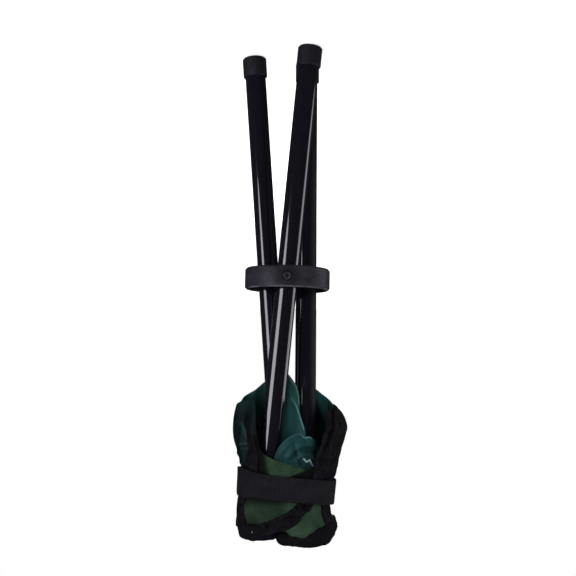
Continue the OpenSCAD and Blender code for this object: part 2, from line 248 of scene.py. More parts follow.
# How far the cloth stands out past the legs on each side, by its height over the ring
RIGHT = ((105, 8), (130, 12.5), (158, 15.4), (185, 11), (212, 11), (240, 11.5), (262, 11))
LEFT = ((105, 10), (130, 21), (150, 30.5), (160, 29), (185, 22.5), (212, 19), (235, 18), (250, 21.5))
FRONT = ((105, 0), (130, 3), (158, 6), (185, 5), (212, 3), (240, 3), (262, 3))
BACK = ((105, 3), (130, 6), (158, 6), (185, 2), (212, -1), (240, -1), (262, 0))
FOLDS = ((105, 2.6), (170, 2.6), (200, 0.5), (225, 0.5), (250, 1))
# Height of the loose edge, by the angle round the bundle from its right side over the back
LOOSE_EDGE = (
    (0, 135), (9, 131), (22, 124.5), (38, 118.3), (48, 114.9), (56, 111.6), (65, 107.4), (80, 110.5),
    (92, 112), (118, 112.5), (130, 114), (138, 120), (152, 128.2), (170, 132), (195, 134), (208, 139),
    (216, 150), (222, 168), (230, 180), (245, 193), (270, 186), (294, 177), (298, 168), (301, 148),
    (304, 134), (309, 126.5), (318, 124.5), (332, 126), (344, 129), (353, 133), (360, 135),
)
FLAP_CREASE = ((46, 147), (38, 164), (45, 181))
# Creases of the front, each with its line across and up, its height and its width
CREASES = (
    (((-15, 232), (-34, 240), (-42, 252)), 0.9, 2.5),
    (((-6, 246), (-22, 238), (-30, 229)), 0.8, 2.0),
    (((-10, 250), (-20, 247), (-33, 250)), 1.0, 2.2),
    (((30, 226), (24, 240), (34, 250)), 0.8, 3.0),
    (((38, 232), (20, 236), (4, 230)), 0.6, 2.2),
)
UPPER_FACET = ((42.6, 149), (34.4, 169), (44.7, 170))
LOWER_FACET = ((43.4, 174), (33.5, 173.3), (40.1, 186))


def at(x, y, z):
    """Point in metres from millimetres across, back and up from the middle of the ring."""
    return HUB + Vector((x, y, z)) / 1000


def curve(table, value):
    """Smooth line through a table of places and heights."""
    if value <= table[0][0]:
        return table[0][1]
    if value >= table[-1][0]:
        return table[-1][1]
    k = next(i for i in range(len(table) - 1) if value < table[i + 1][0])
    (x0, y0), (x1, y1) = table[k], table[k + 1]
    before, after = table[max(k - 1, 0)], table[min(k + 2, len(table) - 1)]
    rise0 = (y1 - before[1]) / (x1 - before[0])
    rise1 = (after[1] - y0) / (after[0] - x0)
    width = x1 - x0
    t = (value - x0) / width
    return (
        y0 * (1 + 2 * t) * (1 - t) ** 2 + rise0 * width * t * (1 - t) ** 2
        + y1 * t * t * (3 - 2 * t) - rise1 * width * t * t * (1 - t)
    )


def sine(degrees):
    return math.sin(math.radians(degrees))


def cosine(degrees):
    return math.cos(math.radians(degrees))


def crumple(x, y, z):
    return noise.noise(Vector((x, y, z)))


def hump(value, middle, width):
    return math.exp(-(((value - middle) / width) ** 2))


def ramp(value, low, high):
    t = min(1, max(0, (value - low) / (high - low)))
    return t * t * (3 - 2 * t)


def off_line(points, x, z):
    """Distance from a line through points, seen from the front."""
    best = 1e9
    for (x0, z0), (x1, z1) in zip(points, points[1:]):
        run = Vector((x1 - x0, z1 - z0))
        t = min(1, max(0, Vector((x - x0, z - z0)).dot(run) / run.length_squared))
        best = min(best, math.hypot(x - x0 - t * run.x, z - z0 - t * run.y))
    return best


def ridge(points, x, z, width):
    """Share of a soft ridge along a line, seen from the front."""
    return hump(off_line(points, x, z), 0, width)


def inside(corners, x, z):
    """Share to which a spot lies within a triangle seen from the front."""
    share = 1.0
    for k in range(3):
        (x0, z0), (x1, z1), (x2, z2) = corners[k], corners[(k + 1) % 3], corners[(k + 2) % 3]
        run = Vector((x1 - x0, z1 - z0)).normalized()
        side = math.copysign(1, run.x * (z2 - z0) - run.y * (x2 - x0))
        share = min(share, ramp(side * (run.x * (z - z0) - run.y * (x - x0)), -0.8, 0.8))
    return share


def on_bundle(u, z, out=0.0):
    """Point on the folded bundle by its angle and height, out from the cloth's face."""
    c, s = cosine(u), sine(u)
    wide = LEG_SIDE + curve(RIGHT if c > 0 else LEFT, z)
    deep = LEG_SIDE + curve(BACK if s > 0 else FRONT, z)
    ripple = 0.7 * sine(5 * u + 40 + 0.5 * z) + 0.4 * sine(9 * u - 1.1 * z)
    push = out + curve(FOLDS, z) * ripple
    x = wide * math.copysign(abs(c) ** (2 / SQUARE), c) + push * c
    y = deep * math.copysign(abs(s) ** (2 / SQUARE), s) + push * s
    return x, y, z


def new_piece(name, bm):
    """A new object that takes over the mesh that was worked on."""
    mesh = bpy.data.meshes.new(name)
    bm.to_mesh(mesh)
    bm.free()
    mesh.shade_smooth()
    piece = bpy.data.objects.new(name, mesh)
    bpy.context.scene.collection.objects.link(piece)
    return piece


def lay(name, cols, rows, place, size, thick, closed=False):
    """A piece of cloth: place() gives each point of its grid from two shares from 0 to 1."""
    bm = bmesh.new()
    bm.loops.layers.uv.new("weave")
    bmesh.ops.create_grid(bm, x_segments=cols, y_segments=rows, size=0.5, calc_uvs=True)
    layer = bm.loops.layers.uv.active
    for face in bm.faces:
        for loop in face.loops:
            loop[layer].uv = ((loop.vert.co.x + 0.5) * size[0], (loop.vert.co.y + 0.5) * size[1])
    for vert in bm.verts:
        vert.co = at(*place(vert.co.x + 0.5, vert.co.y + 0.5))
    if closed:
        bmesh.ops.remove_doubles(bm, verts=bm.verts, dist=0.00002)
    piece = new_piece(name, bm)
    shell = piece.modifiers.new("thickness", "SOLIDIFY")
    shell.thickness = thick / 1000
    shell.offset = 0
    shell.use_even_offset = True
    return piece


def tint(piece, name, value):
    """Keeps a share for each point, which the piece's finish reads by name."""
    layer = piece.data.attributes.new(name, "FLOAT", "POINT")
    for i, vert in enumerate(piece.data.vertices):
        layer.data[i].value = value((vert.co - HUB) * 1000)


def weave(finish, threads):
    """Height of a plain weave with so many threads to the metre, over and under."""
    along = finish.split("UV")
    warp, weft = (finish.maths("SINE", finish.maths("MULTIPLY", along[i], threads * math.pi)) for i in (0, 1))
    return finish.maths("MULTIPLY", warp, weft)


oxford = Finish("woven_green_polyester", (0.017, 0.031, 0.021), 0.68, specular=0.04)
threads = weave(oxford, 700)
patches = oxford.between(oxford.cloud(55, 4), 0.35, 0.65)
slubs = oxford.between(oxford.cloud(260, 3, scale=(1, 14, 1), kind="UV"), 0.5, 0.75, 0.0, 0.5)
green = oxford.mix(patches, (0.0125, 0.029, 0.015), (0.0305, 0.057, 0.033))
green = oxford.mix(slubs, green, (0.055, 0.088, 0.06))
green = oxford.mix(oxford.between(threads, -0.1, 0.5, 0.0, 0.75), green, (0.0035, 0.0095, 0.0048))
# Painted shade: the green is darkened beside the strap, the bindings and the pockets.
green = oxford.mix(oxford.share("painted_shade"), green, (0.0023, 0.0034, 0.0026))
flap_patches = oxford.between(oxford.cloud(70, 4), 0.35, 0.65)
teal = oxford.mix(flap_patches, (0.001, 0.0026, 0.0026), (0.0024, 0.0064, 0.0065))
# Painted light: the teal is lightened on lit facets and edges and inside the bundle's mouth.
teal = oxford.mix(oxford.share("painted_light"), teal, (0.024, 0.07, 0.073))
turned = oxford.share("turned")
oxford.join(oxford.mix(turned, green, teal), "Base Color")
oxford.join(oxford.between(turned, 0, 1, 0.68, 0.5), "Roughness")
rib = oxford.maths("MULTIPLY", threads, oxford.between(turned, 0, 1, 1, 0.15))
oxford.relief((rib, 0.00012), (oxford.cloud(220, 4), 0.0006))

coated = Finish("teal_coated_side", (0.005, 0.033, 0.035), 0.4, specular=0.1)
coat_patches = coated.between(coated.cloud(75, 5), 0.35, 0.65)
coat_tone = coated.mix(coat_patches, (0.0028, 0.0135, 0.0135), (0.0068, 0.033, 0.0325))
# Painted light: the coated side is lightened where light falls on the wall, tongue and roll.
coat_tone = coated.mix(coated.share("painted_light"), coat_tone, (0.026, 0.102, 0.102))
# Painted shade: the coated side is darkened deep in the bundle and in the tongue's and roll's hollows.
coat_tone = coated.mix(coated.share("deep"), coat_tone, (0.0012, 0.003, 0.0034))
# Painted highlight: thin pale lines along the tongue's rim and ridge, the roll's peak and the frill.
coated.join(coated.mix(coated.share("painted_highlight"), coat_tone, (0.27, 0.36, 0.36)), "Base Color")
coated.join(coated.between(coated.cloud(300, 4), 0.3, 0.7, 0.32, 0.5), "Roughness")
coated.relief((weave(coated, 1500), 0.00003), (coated.cloud(190, 5, 0.6, scale=(1, 1, 0.6)), 0.0007))


def strap_middle(u):
    return STRAP_HEIGHT - STRAP_TILT * cosine(u)


def pulled_in(u, z):
    """How far the tight strap and the legs' lean draw the cloth in from its loose shape."""
    under = 1 - ramp(abs(z - strap_middle(u)), 10, 19)
    c = cosine(u)
    waist = 2.6 * hump(z, 237, 9) * ramp(-c, 0.2, 0.9) + 2.6 * hump(z, 181, 13) * ramp(c, 0.3, 0.9)
    return 2.1 * under + waist


def turned_out(x, y, z):
    """Share to which the loose flap is turned with its coated side out, past a fold line."""
    limit = 22 - 13 * ramp(z, 166, 152)
    fold = 24 - 0.22 * (z - 130)
    return ramp(z, 193, 190) * ramp(x + 0.35 * y, limit, limit + 3) * ramp(y, fold, fold - 3)


def wall(s, t):
    u = 360 * s
    low = curve(LOOSE_EDGE, u)
    rise = ramp(u, 233, 240)
    top = SEAT_TOP + 6.5 * rise * ramp(u, 268, 262) + 0.9 * sine(u * 19) * rise
    z = low + (top - low) * t
    loose = 1 - ramp(z, 170, 200)
    out = 0.2 + crumple(cosine(u) * 3, sine(u) * 3, z * 0.05) * (0.5 + 0.9 * loose) - pulled_in(u, z)
    out += ramp(z, 224, 236) * 0.5 * sine(11 * u + 2.2 * z)
    out += 2.2 * ramp(z, 248, 255) * ramp(-cosine(u), -0.9, 0.3)
    x, y, z = on_bundle(u, z, out)
    out += 0.9 * turned_out(x, y, z)
    if y < 0:
        out += 1.6 * ridge(FLAP_CREASE, x, z, 2.4) * ramp(x, 20, 32)
        for line, height, width in CREASES:
            out += height * ridge(line, x, z, width)
    return on_bundle(u, z, out)


# Painted light on the wall: its inside near the mouth, its top and two facets with their edges are lightened.
def flap_painted_light(p):
    if p.y > 20 or p.x < -30:
        return 0.55 * (1 - ramp(p.z, 112, 132 if p.x > 0 else 150))
    shine = 0.1 * ramp(p.z, 140, 126)
    if p.y > 0:
        return shine
    shine += 0.12 * inside(UPPER_FACET, p.x, p.z) + 0.4 * ridge(UPPER_FACET, p.x, p.z, 0.7)
    shine += 0.09 * inside(LOWER_FACET, p.x, p.z) + 0.25 * ridge(LOWER_FACET[:2], p.x, p.z, 0.7)
    return shine + 0.3 * hump(p.z, 126, 5) * ramp(-p.x, 20, 30)


def wall_deep_shade(p):
    """Painted shade in the depth of the bundle, where the cloth has no light."""
    if p.x < 0:
        return 0.92 * ramp(p.z - 117 + 2.2 * (p.x + 31), -4, 9) * ramp(-p.x, 10, 24)
    return 0.9 * ramp(p.z, 122, 150)


def wall_painted_shade(p):
    """Painted shade beside the strap, the bindings and the pockets."""
    if p.z < 206 and p.y < 0:
        beside_left = ramp(-p.x - 2.2 * (198 - p.z), 9, 14) * ramp(p.z, 184, 189)
        return min(1, ramp(p.x + 0.2 * (p.z - 190), 12, 19) + beside_left)
    dark_share = 0.55 * hump(p.z, 223, 6) * ramp(p.x, -20, 5)
    dark_share += 0.3 * ramp(p.x, -12, 8) * ramp(p.z, 205, 222)
    dark_share += 0.4 * hump(p.z, 262, 6)
    dark_share += 0.12 * ramp(p.x, -8, 4) * ramp(p.z, 221, 226)
    return min(1, dark_share + 0.35 * ramp(p.x, 8, 32) * ramp(p.z, 232, 250))


def thickened(piece):
    """Makes the thickness part of the mesh, so that it keeps when the piece is squashed."""
    shown = piece.evaluated_get(bpy.context.evaluated_depsgraph_get())
    piece.data = bpy.data.meshes.new_from_object(shown)
    piece.modifiers.clear()


def with_hub(piece, node=None):
    """Makes the piece's thickness part of its mesh and rides it on the hub, in place of its CAD node when it
    has one.
    """
    thickened(piece)
    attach(piece, "hub")
    if node:
        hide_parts(node)
    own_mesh(piece)


seat = lay("seat_wall", 260, 60, wall, size=(0.29, 0.13), thick=1.0, closed=True)
tint(seat, "painted_light", flap_painted_light)
tint(seat, "painted_shade", wall_painted_shade)
tint(seat, "deep", wall_deep_shade)
tint(seat, "turned", lambda p: turned_out(p.x, p.y, p.z))
seat.data.materials.append(oxford.material)
seat.data.materials.append(coated.material)
seat.modifiers["thickness"].material_offset = 1
seat.modifiers["thickness"].offset = -1
with_hub(seat, "seat_cloth")

# Seat tongue: the middle of the seat cloth, drawn in between the legs towards the hub, with its
# coated side out and one edge turned.
TONGUE_TIP, TONGUE_ROOT = 99, 204
# Where its sides, rim and shade lie across, by the height over the ring; then, seen from above,
# the line that it follows, and its ridge, seen from the front
TONGUE_LEFT = (
    (99, -3.6), (106.7, -9.5), (116.5, -14.2), (125.6, -15.6), (131, -15.2), (140.6, -16.8),
    (154.3, -21.3), (174, -27), (190, -48), (204, -48.4),
)
TONGUE_RIGHT = ((99, -2.9), (103, 1), (122, 8), (204, 8))
TONGUE_RIM = ((99, -2.5), (104.4, -6), (110.6, -11.2), (120, -14.1), (130, -14.9))
TONGUE_SHADE = ((99, -2.5), (106, -2.6), (128, -0.9), (146, 2.1), (167, 3.6))
TONGUE_LINE = ((-50, -20), (-40, -19.8), (-30, -18), (-22, -15.4), (-10, -11.2), (0, -8.8), (8, -5.8))
TONGUE_RIDGE = ((-7, 123), (-12.2, 131), (-15.6, 140.6), (-20.4, 154))
TONGUE_EDGE = [(x, z) for z, x in TONGUE_RIM]


def tongue(s, t):
    z = TONGUE_TIP + (TONGUE_ROOT - TONGUE_TIP) * t
    left, right = curve(TONGUE_LEFT, z), curve(TONGUE_RIGHT, z)
    x = left + (right - left) * s
    y = curve(TONGUE_LINE, x) + 0.015 * (TONGUE_ROOT - z)
    y -= 1.5 * math.exp(-off_line(TONGUE_RIDGE, x, z) / 3.2)
    y -= 1.6 * hump(x, -2 - 0.1 * (z - 112), 5) * ramp(z, 108, 128)
    y += 2.2 * ramp(x, -8, -15) * ramp(z, 134, 126)
    return x, y + 0.5 * crumple(x * 0.12, z * 0.05, 3), z


# Painted light: the whole tongue is lightened, with painted highlights along its rim, its ridge and its
# middle.
def tongue_painted_light(p):
    rim_and_ridge_highlights = 0.45 * ridge(TONGUE_EDGE, p.x, p.z, 0.7) + 0.7 * ridge(TONGUE_RIDGE, p.x, p.z, 0.8)
    return 0.3 + rim_and_ridge_highlights + 0.2 * hump(p.x, 2, 5)


# Painted shade past the tongue's rim and along its side by the tube.
def tongue_painted_shade(p):
    past_rim = 0.9 * ramp(curve(TONGUE_RIM, p.z) - p.x, 0.2, 0.8) * ramp(p.z, 131, 128)
    return max(past_rim, 0.65 * ramp(p.x - curve(TONGUE_SHADE, p.z), -4, 0.5))


# Painted highlight along the tongue's rim and ridge.
def tongue_highlights(p):
    rim = 0.34 * ridge(TONGUE_EDGE, p.x, p.z, 0.42)
    return rim + 0.22 * ridge(TONGUE_RIDGE, p.x, p.z, 0.4) * ramp(p.z, 122, 132)


middle = lay("seat_tongue", 110, 130, tongue, size=(0.05, 0.105), thick=0.7)
tint(middle, "painted_light", tongue_painted_light)
tint(middle, "deep", tongue_painted_shade)
tint(middle, "painted_highlight", tongue_highlights)
middle.data.materials.append(coated.material)
with_hub(middle)

# Rolled hem: the loose front edge of the seat cloth, rolled over on itself in front of the left
# leg. Its arc is turned in and its end is gathered in a small frill.
ROLL_ENDS = (-39, 9)
ROLL_TOP = 206
ROLL_MIDDLE = (-22, 187)
# Height of its free edge, by the place across, and of the wall's edge that it lies behind
ROLL_EDGE = (
    (-39, 175), (-35, 168.5), (-30, 163.5), (-25, 160.6), (-20.5, 161.4), (-16.5, 158), (-12, 158.6),
    (-3, 163.5), (4, 171), (9, 181),
)
WALL_EDGE = ((-44, 168), (-39, 180), (-27, 193), (-19.7, 191.6), (0, 186), (10.7, 182.2), (23.8, 177))
FRILL = (
    (-20.4, 182.3), (-23.1, 185), (-26.2, 183.4), (-28, 186.5), (-29.1, 189.2), (-31.5, 188.2),
    (-32.6, 186.5),
)
ROLL_FOLD = ((-11, 171), (-12.5, 178.5), (-17, 187.5))
FOLD_LIGHT = ((-13.5, 172.5), (-16.5, 177.5), (-20, 182.5))
ROLL_PEAK = ((-17.3, 158.5), (-20.3, 162), (-25.5, 161.2), (-28, 162))


def front_face(x, z):
    wide = LEG_SIDE + curve(RIGHT if x > 0 else LEFT, z)
    deep = LEG_SIDE + curve(FRONT, z)
    return -deep * max(0, 1 - (abs(x) / wide) ** SQUARE) ** (1 / SQUARE)


def about_roll(x, z):
    """Distance from the middle of the roll, and the phase of the wrinkles that wind round it."""
    side_way, up_way = x - ROLL_MIDDLE[0], z - ROLL_MIDDLE[1]
    ring = math.hypot(side_way, up_way * 1.1)
    return ring, ring * 0.62 + 0.9 * math.atan2(up_way, side_way)


def roll(s, t):
    x = ROLL_ENDS[0] + (ROLL_ENDS[1] - ROLL_ENDS[0]) * s
    low = curve(ROLL_EDGE, x)
    z = low + (ROLL_TOP - low) * t
    arch = math.sin(math.pi * s)
    behind = 1.9 + (1 - t) * (4 + 4 * arch)
    free = ramp(curve(WALL_EDGE, x) - z, 1.5, 10)
    lip = 2.6 * math.exp(-t / 0.045)
    ring, wrinkle = about_roll(x, z)
    swirl = 1.3 * math.sin(wrinkle) * ramp(ring, 30, 20) * ramp(ring, 3, 9)
    hollow = 1.2 * hump(math.hypot((x + 24) * 0.7, z - 175), 0, 6) + 1.8 * ridge(ROLL_FOLD, x, z, 2.4)
    frill = 1.8 * ridge(FRILL, x, z, 0.7)
    rough = 0.5 * crumple(x * 0.16, z * 0.16, 7)
    return x, front_face(x, z) + behind + lip + (swirl + hollow - frill + rough - 3.4 * arch) * free, z


# Painted light: the roll's wrinkle crests, a fold and its free edge are lightened.
def hem_painted_light(p):
    ring, wrinkle = about_roll(p.x, p.z)
    crests = 0.14 * ramp(math.sin(wrinkle + 2.2), 0.2, 1.0) * ramp(ring, 30, 20)
    edge = 0.55 * hump(p.z - curve(ROLL_EDGE, p.x), 0.5, 0.9)
    return 0.1 + crests + 0.26 * ridge(FOLD_LIGHT, p.x, p.z, 0.9) + edge


# Painted shade in the roll's hollow and fold, under it and at its right end.
def hem_painted_shade(p):
    hollow = 0.45 * hump(math.hypot((p.x + 26) * 0.85, p.z - 176), 0, 7.5)
    hollow += 0.42 * ridge(ROLL_FOLD, p.x, p.z, 1.8)
    under = 0.65 * hump(math.hypot(p.x + 24, p.z - 191.5), 0, 4.5)
    return min(1, 0.14 + hollow + 0.85 * ramp(-p.x, 26, 34) + under)


# Painted highlight along the frill and the roll's peak.
def hem_highlights(p):
    return 0.85 * ridge(FRILL, p.x, p.z, 0.33) + 0.3 * ridge(ROLL_PEAK, p.x, p.z, 0.5)


hem = lay("seat_roll", 150, 130, roll, size=(0.05, 0.045), thick=0.8)
tint(hem, "painted_light", hem_painted_light)
tint(hem, "deep", hem_painted_shade)
tint(hem, "painted_highlight", hem_highlights)
hem.data.materials.append(coated.material)
with_hub(hem)

# Edge bindings: black woven tape, folded over each edge of the seat and stitched on with two
# rows. Folded, the left one shows a short length of its inner side as well.
TAPE = 0.013
THREAD, STITCH_PITCH, STITCH_SHARE = 0.0007, 0.0032, 0.68
MM_PER_DEGREE = 44 * math.pi / 180
LENGTHS = {"front": 0.098, "right": 0.125, "left": 0.125}
# The line of each tape, by the angle round the bundle and the height over the ring
BINDINGS = {
    "front": (
        (301, 255), (286, 251), (273, 246.6), (263, 241), (246, 227.5), (235, 213), (230, 198),
        (229, 184), (228, 170),
    ),
    "right": ((319, 143), (313, 156), (311, 170), (310, 184), (317, 205), (334, 226), (335, 253)),
    "left": (
        (196, 134), (207, 146), (212, 160), (213, 176), (211, 190), (209, 205), (210, 226),
        (208, 251),
    ),
}


def stitches(finish, width, inset):
    """Mask of the two rows of stitches along a tape, from its own UV map in metres."""
    across_tape, along_tape, _ = finish.split("UV")
    from_middle = finish.maths("ABSOLUTE", finish.maths("SUBTRACT", across_tape, width / 2))
    from_row = finish.maths("ABSOLUTE", finish.maths("SUBTRACT", from_middle, width / 2 - inset))
    row = finish.maths("LESS_THAN", from_row, THREAD / 2)
    dash = finish.maths("FRACT", finish.maths("DIVIDE", along_tape, STITCH_PITCH))
    return finish.maths("MULTIPLY", row, finish.maths("LESS_THAN", dash, STITCH_SHARE))


binding = Finish("black_woven_tape", (0.0045, 0.004, 0.005), 0.75, specular=0.03)
tape = weave(binding, 1300)
thread = stitches(binding, TAPE, 0.0018)
faded = binding.between(binding.cloud(130, 4), 0.3, 0.7)
tone = binding.mix(faded, (0.001, 0.0009, 0.0012), (0.0088, 0.0082, 0.0106))
tone = binding.mix(binding.maths("MULTIPLY", thread, 0.4), tone, (0.022, 0.021, 0.024))
tone = binding.mix(binding.between(tape, -1, 1, 0.0, 0.45), tone, (0.0015, 0.0014, 0.0018))
binding.join(tone, "Base Color")
binding.relief((tape, 0.00022), (thread, 0.0004), (binding.cloud(260, 3), 0.0007))


def path_point(path, share):
    """Point on a smooth line through a path's points."""
    place = share * (len(path) - 1)
    return tuple(curve([(k, p[i]) for k, p in enumerate(path)], place) for i in (0, 1))


def tape_width(side, z):
    if side == "left":
        return 13 + 8 * ramp(z, 212, 190) + 4.5 * ramp(z, 216, 226)
    if side == "right":
        flare = 4.5 * ramp(z, 216, 226) + 14 * ramp(z, 237, 252)
        return 13 + 2.5 * hump(z, 190, 15) - 9 * ramp(z, 165, 146) + flare
    return 13 + 4 * ramp(z, 203, 192) - 5 * ramp(z, 182, 171)


def bound(side, depth=1.15, share=1.0, shift=0.0):
    """Gives the places of a tape along its edge of the seat, out from the cloth's face."""
    path = BINDINGS[side]
    end_lift = 0 if side == "right" else 1.6

    def place(s, t):
        u, z = path_point(path, t)
        u1, z1 = path_point(path, min(1, t + 0.02))
        u0, z0 = path_point(path, max(0, t - 0.02))
        run = Vector(((u1 - u0) * MM_PER_DEGREE, z1 - z0)).normalized()
        w = tape_width(side, z) * (s - 0.5) * share + shift
        out = depth - 0.5 * ramp(abs(2 * s - 1), 0.7, 1.0)
        out += 0.4 * crumple(w * 0.25, t * 14, len(side))
        out += 0.45 * math.sin(t * 60 + w * 0.2) * crumple(t * 9, 3, len(side))
        u += w * run.y / MM_PER_DEGREE
        z -= w * run.x
        return on_bundle(u, z, out - pulled_in(u, z) + end_lift * ramp(z, 248, 255))

    return place


for side in SIDES:
    size = (TAPE, LENGTHS[side])
    edge = lay(f"seat_binding_{side}", 16, 90, bound(side), size=size, thick=1.0)
    edge.data.materials.append(binding.material)
    with_hub(edge, f"edge_binding_{side}")
inner_side = bound("left", -2.0, 0.85, 7)
turned_in = lay(
    "binding_inside_left", 12, 60, lambda s, t: inner_side(s, 0.06 + 0.5 * t), size=(TAPE, 0.06), thick=1.0
)
turned_in.data.materials.append(binding.material)
with_hub(turned_in)

# Seat middle: the cloth between the corners, which lies folded in between the legs and is drawn
# out to the sitting surface as they open. Each third follows one leg, with its taped edge.
OPEN_SWING = math.radians(38)
OPEN_HEIGHT, OPEN_REACH, SAG = 202, 158, 12
AXIS_OUT = 22.95
CORNER_REACH, LEG_END = 250, 258
# How far the middle of each open edge lies out, and each leg's direction, swing and lean folded
MID_EDGES = {("front", "left"): 37, ("front", "right"): 35, ("left", "right"): 46}
LEGS = {"front": (-89.5, 4.45, 1.03), "right": (30.5, 2.36, 4.53), "left": (150.5, 3.82, 1.32)}


def leg_ways(side):
    angle = math.radians(LEGS[side][0])
    return Vector((math.cos(angle), math.sin(angle))), Vector((-math.sin(angle), math.cos(angle)))


def seat_corner(side):
    out, sideways = leg_ways(side)
    lean = math.radians(LEGS[side][2])
    along = CORNER_REACH * math.cos(lean) * math.sin(OPEN_SWING)
    return out * (AXIS_OUT - CORNER_REACH * math.sin(lean)) + sideways * along


def seat_edge(side, other, share, inset=0.0):
    """Point on the seat's edge, open, from its middle to this side's corner."""
    corner, far = seat_corner(side), seat_corner(other)
    outwards = (corner + far).normalized()
    start = outwards * MID_EDGES[tuple(sorted((side, other)))]
    bend = start + (corner - far).normalized() * 0.4 * (corner - start).length
    beside_corner = corner + outwards * 7
    point = start * (1 - share) ** 2 + bend * 2 * share * (1 - share) + beside_corner * share ** 2
    return point - outwards * inset


def seat_height(point):
    return OPEN_HEIGHT - SAG * (1 - min(1, point.length / OPEN_REACH) ** 2)


def fold_in(piece, side):
    """Turns a piece made for the open stool back to where it lies when folded."""
    out, sideways = leg_ways(side)
    swing, lean = (math.radians(v) for v in LEGS[side][1:])
    turn = OPEN_SWING - swing
    end = LEG_END * math.cos(lean) * math.sin(swing)
    for vert in piece.data.vertices:
        x, y, z = (vert.co - HUB) * 1000
        radial, along = x * out.x + y * out.y, max(0.0, x * sideways.x + y * sideways.y)
        reach, angle = math.hypot(along, z), math.atan2(along, z)
        low, high = 0.0, 1.0
        for halving in range(24):
            t = (low + high) / 2
            if turn * t * t * (3 - 2 * t) + math.asin(min(1, end * t / reach)) < angle:
                low = t
            else:
                high = t
        folded = end * (low + high) / 2
        up = math.sqrt(reach * reach - folded * folded)
        vert.co = at(out.x * radial + sideways.x * folded, out.y * radial + sideways.y * folded, up)
    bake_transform(piece)
    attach(piece, "hub")


def seat_third(side):
    others = [k for k in SIDES if k != side]

    def place(s, t):
        other = others[0] if s < 0.5 else others[1]
        rim, spine = seat_edge(side, other, t), seat_corner(side) * t
        point = spine.lerp(rim, abs(2 * s - 1))
        return point.x, point.y, seat_height(point)

    return lay(f"seat_middle_{side}", 40, 60, place, size=(0.09, 0.15), thick=1.0)


def seat_tape(side, other):
    def place(s, t):
        point = seat_edge(side, other, t, inset=9 - 10 * s)
        return point.x, point.y, seat_height(point) + 0.9

    return lay(f"seat_tape_{side}_{other}", 8, 60, place, size=(0.01, 0.15), thick=0.9)


for side in SIDES:
    third = seat_third(side)
    thickened(third)
    third.data.materials.append(oxford.material)
    third.data.materials.append(coated.material)
    for face in third.data.polygons:
        face.material_index = 0 if face.normal.z > 0 else 1
    fold_in(third, side)
    for other in SIDES:
        if other != side:
            rim = seat_tape(side, other)
            thickened(rim)
            rim.data.materials.append(binding.material)
            fold_in(rim, side)

# Closure strap: 25 mm ribbed webbing, pulled tight once around the bundle over the cloth, with
# its end lapped over itself.
STRAP_START, STRAP_LAP, STRAP_WIDTH = 60, 50, 23.8
webbing = Finish("ribbed_webbing", (0.0075, 0.007, 0.0095), 0.7, specular=0.08)
along_belt, over_belt, _ = webbing.split("UV")
ribs = webbing.maths("SINE", webbing.maths("MULTIPLY", along_belt, 720 * 2 * math.pi))
slant = webbing.maths("ADD", over_belt, webbing.maths("MULTIPLY", along_belt, 0.6))
picks = webbing.maths("SINE", webbing.maths("MULTIPLY", slant, 800 * 2 * math.pi))
belt_wear = webbing.between(webbing.cloud(42, 5, 0.6, scale=(1, 1, 2)), 0.4, 0.68)
belt_tone = webbing.mix(belt_wear, (0.006, 0.0056, 0.0075), (0.0115, 0.0108, 0.0145))
belt_tone = webbing.mix(webbing.between(ribs, -1, 0.6, 0.7, 0.0), belt_tone, (0.0025, 0.0023, 0.0032))
belt_tone = webbing.mix(webbing.between(picks, 0.2, 1, 0.0, 0.25), belt_tone, (0.024, 0.0225, 0.029))
webbing.join(belt_tone, "Base Color")
webbing.relief((ribs, 0.0003), (picks, 0.00012), (webbing.cloud(80, 3), 0.0009))


def strap(s, t):
    turn = STRAP_START + (360 + STRAP_LAP) * s
    u = turn % 360
    wave = 0.5 * crumple(cosine(turn) * 2, sine(turn) * 2, t * 0.8)
    out = 1.0 + 2.7 * ramp(turn, 390, 420) + wave - 0.35 * ramp(abs(2 * t - 1), 0.85, 1)
    out += 0.5 * hump(u, 325, 12) + 0.9 * hump(u, 212, 14)
    width = STRAP_WIDTH + 6 * hump(u, 335, 26)
    return on_bundle(u, strap_middle(u) + 0.8 * hump(u, 335, 26) + width * (t - 0.5), out)


belt = lay("closure_webbing", 300, 18, strap, size=(0.335, 0.025), thick=1.5)
belt.data.materials.append(webbing.material)
with_hub(belt, "closure_strap")

# Grip patch: a piece of hook and loop tape, sewn between the strap's two layers where they lap,
# that holds the strap closed.
PATCH_WIDTH = 21
hooks = Finish("hook_tape", (0.0065, 0.006, 0.007), 0.85, specular=0.2)
pile = hooks.cloud(1500, 2)
hooks.join(hooks.mix(pile, (0.004, 0.004, 0.005), (0.014, 0.013, 0.015)), "Base Color")
hooks.relief((pile, 0.0009))


def patch(s, t):
    u = STRAP_START + 10 + (STRAP_LAP - 10) * s
    return on_bundle(u, strap_middle(u) + PATCH_WIDTH * (t - 0.5), 2.4)


grip = lay("grip_patch", 40, 16, patch, size=(0.028, 0.021), thick=0.8)
grip.data.materials.append(hooks.material)
with_hub(grip, "strap_grip_patch")

# Corner pockets: doubled black cloth sewn into a sleeve over each leg end, with the folded
# corner of the seat stuffed against it. Their padded ends lap over the end of the cloth wall.
pocket_cloth = Finish("black_pocket_cloth", (0.0045, 0.004, 0.005), 0.78, specular=0.03)
pocket_tone = pocket_cloth.mix(pocket_cloth.cloud(85, 4), (0.0018, 0.0016, 0.0022), (0.0058, 0.0053, 0.0068))
pocket_cloth.join(pocket_tone, "Base Color")
pocket_cloth.relief((pocket_cloth.cloud(1900, 2), 0.0003), (pocket_cloth.cloud(240, 4), 0.0008))
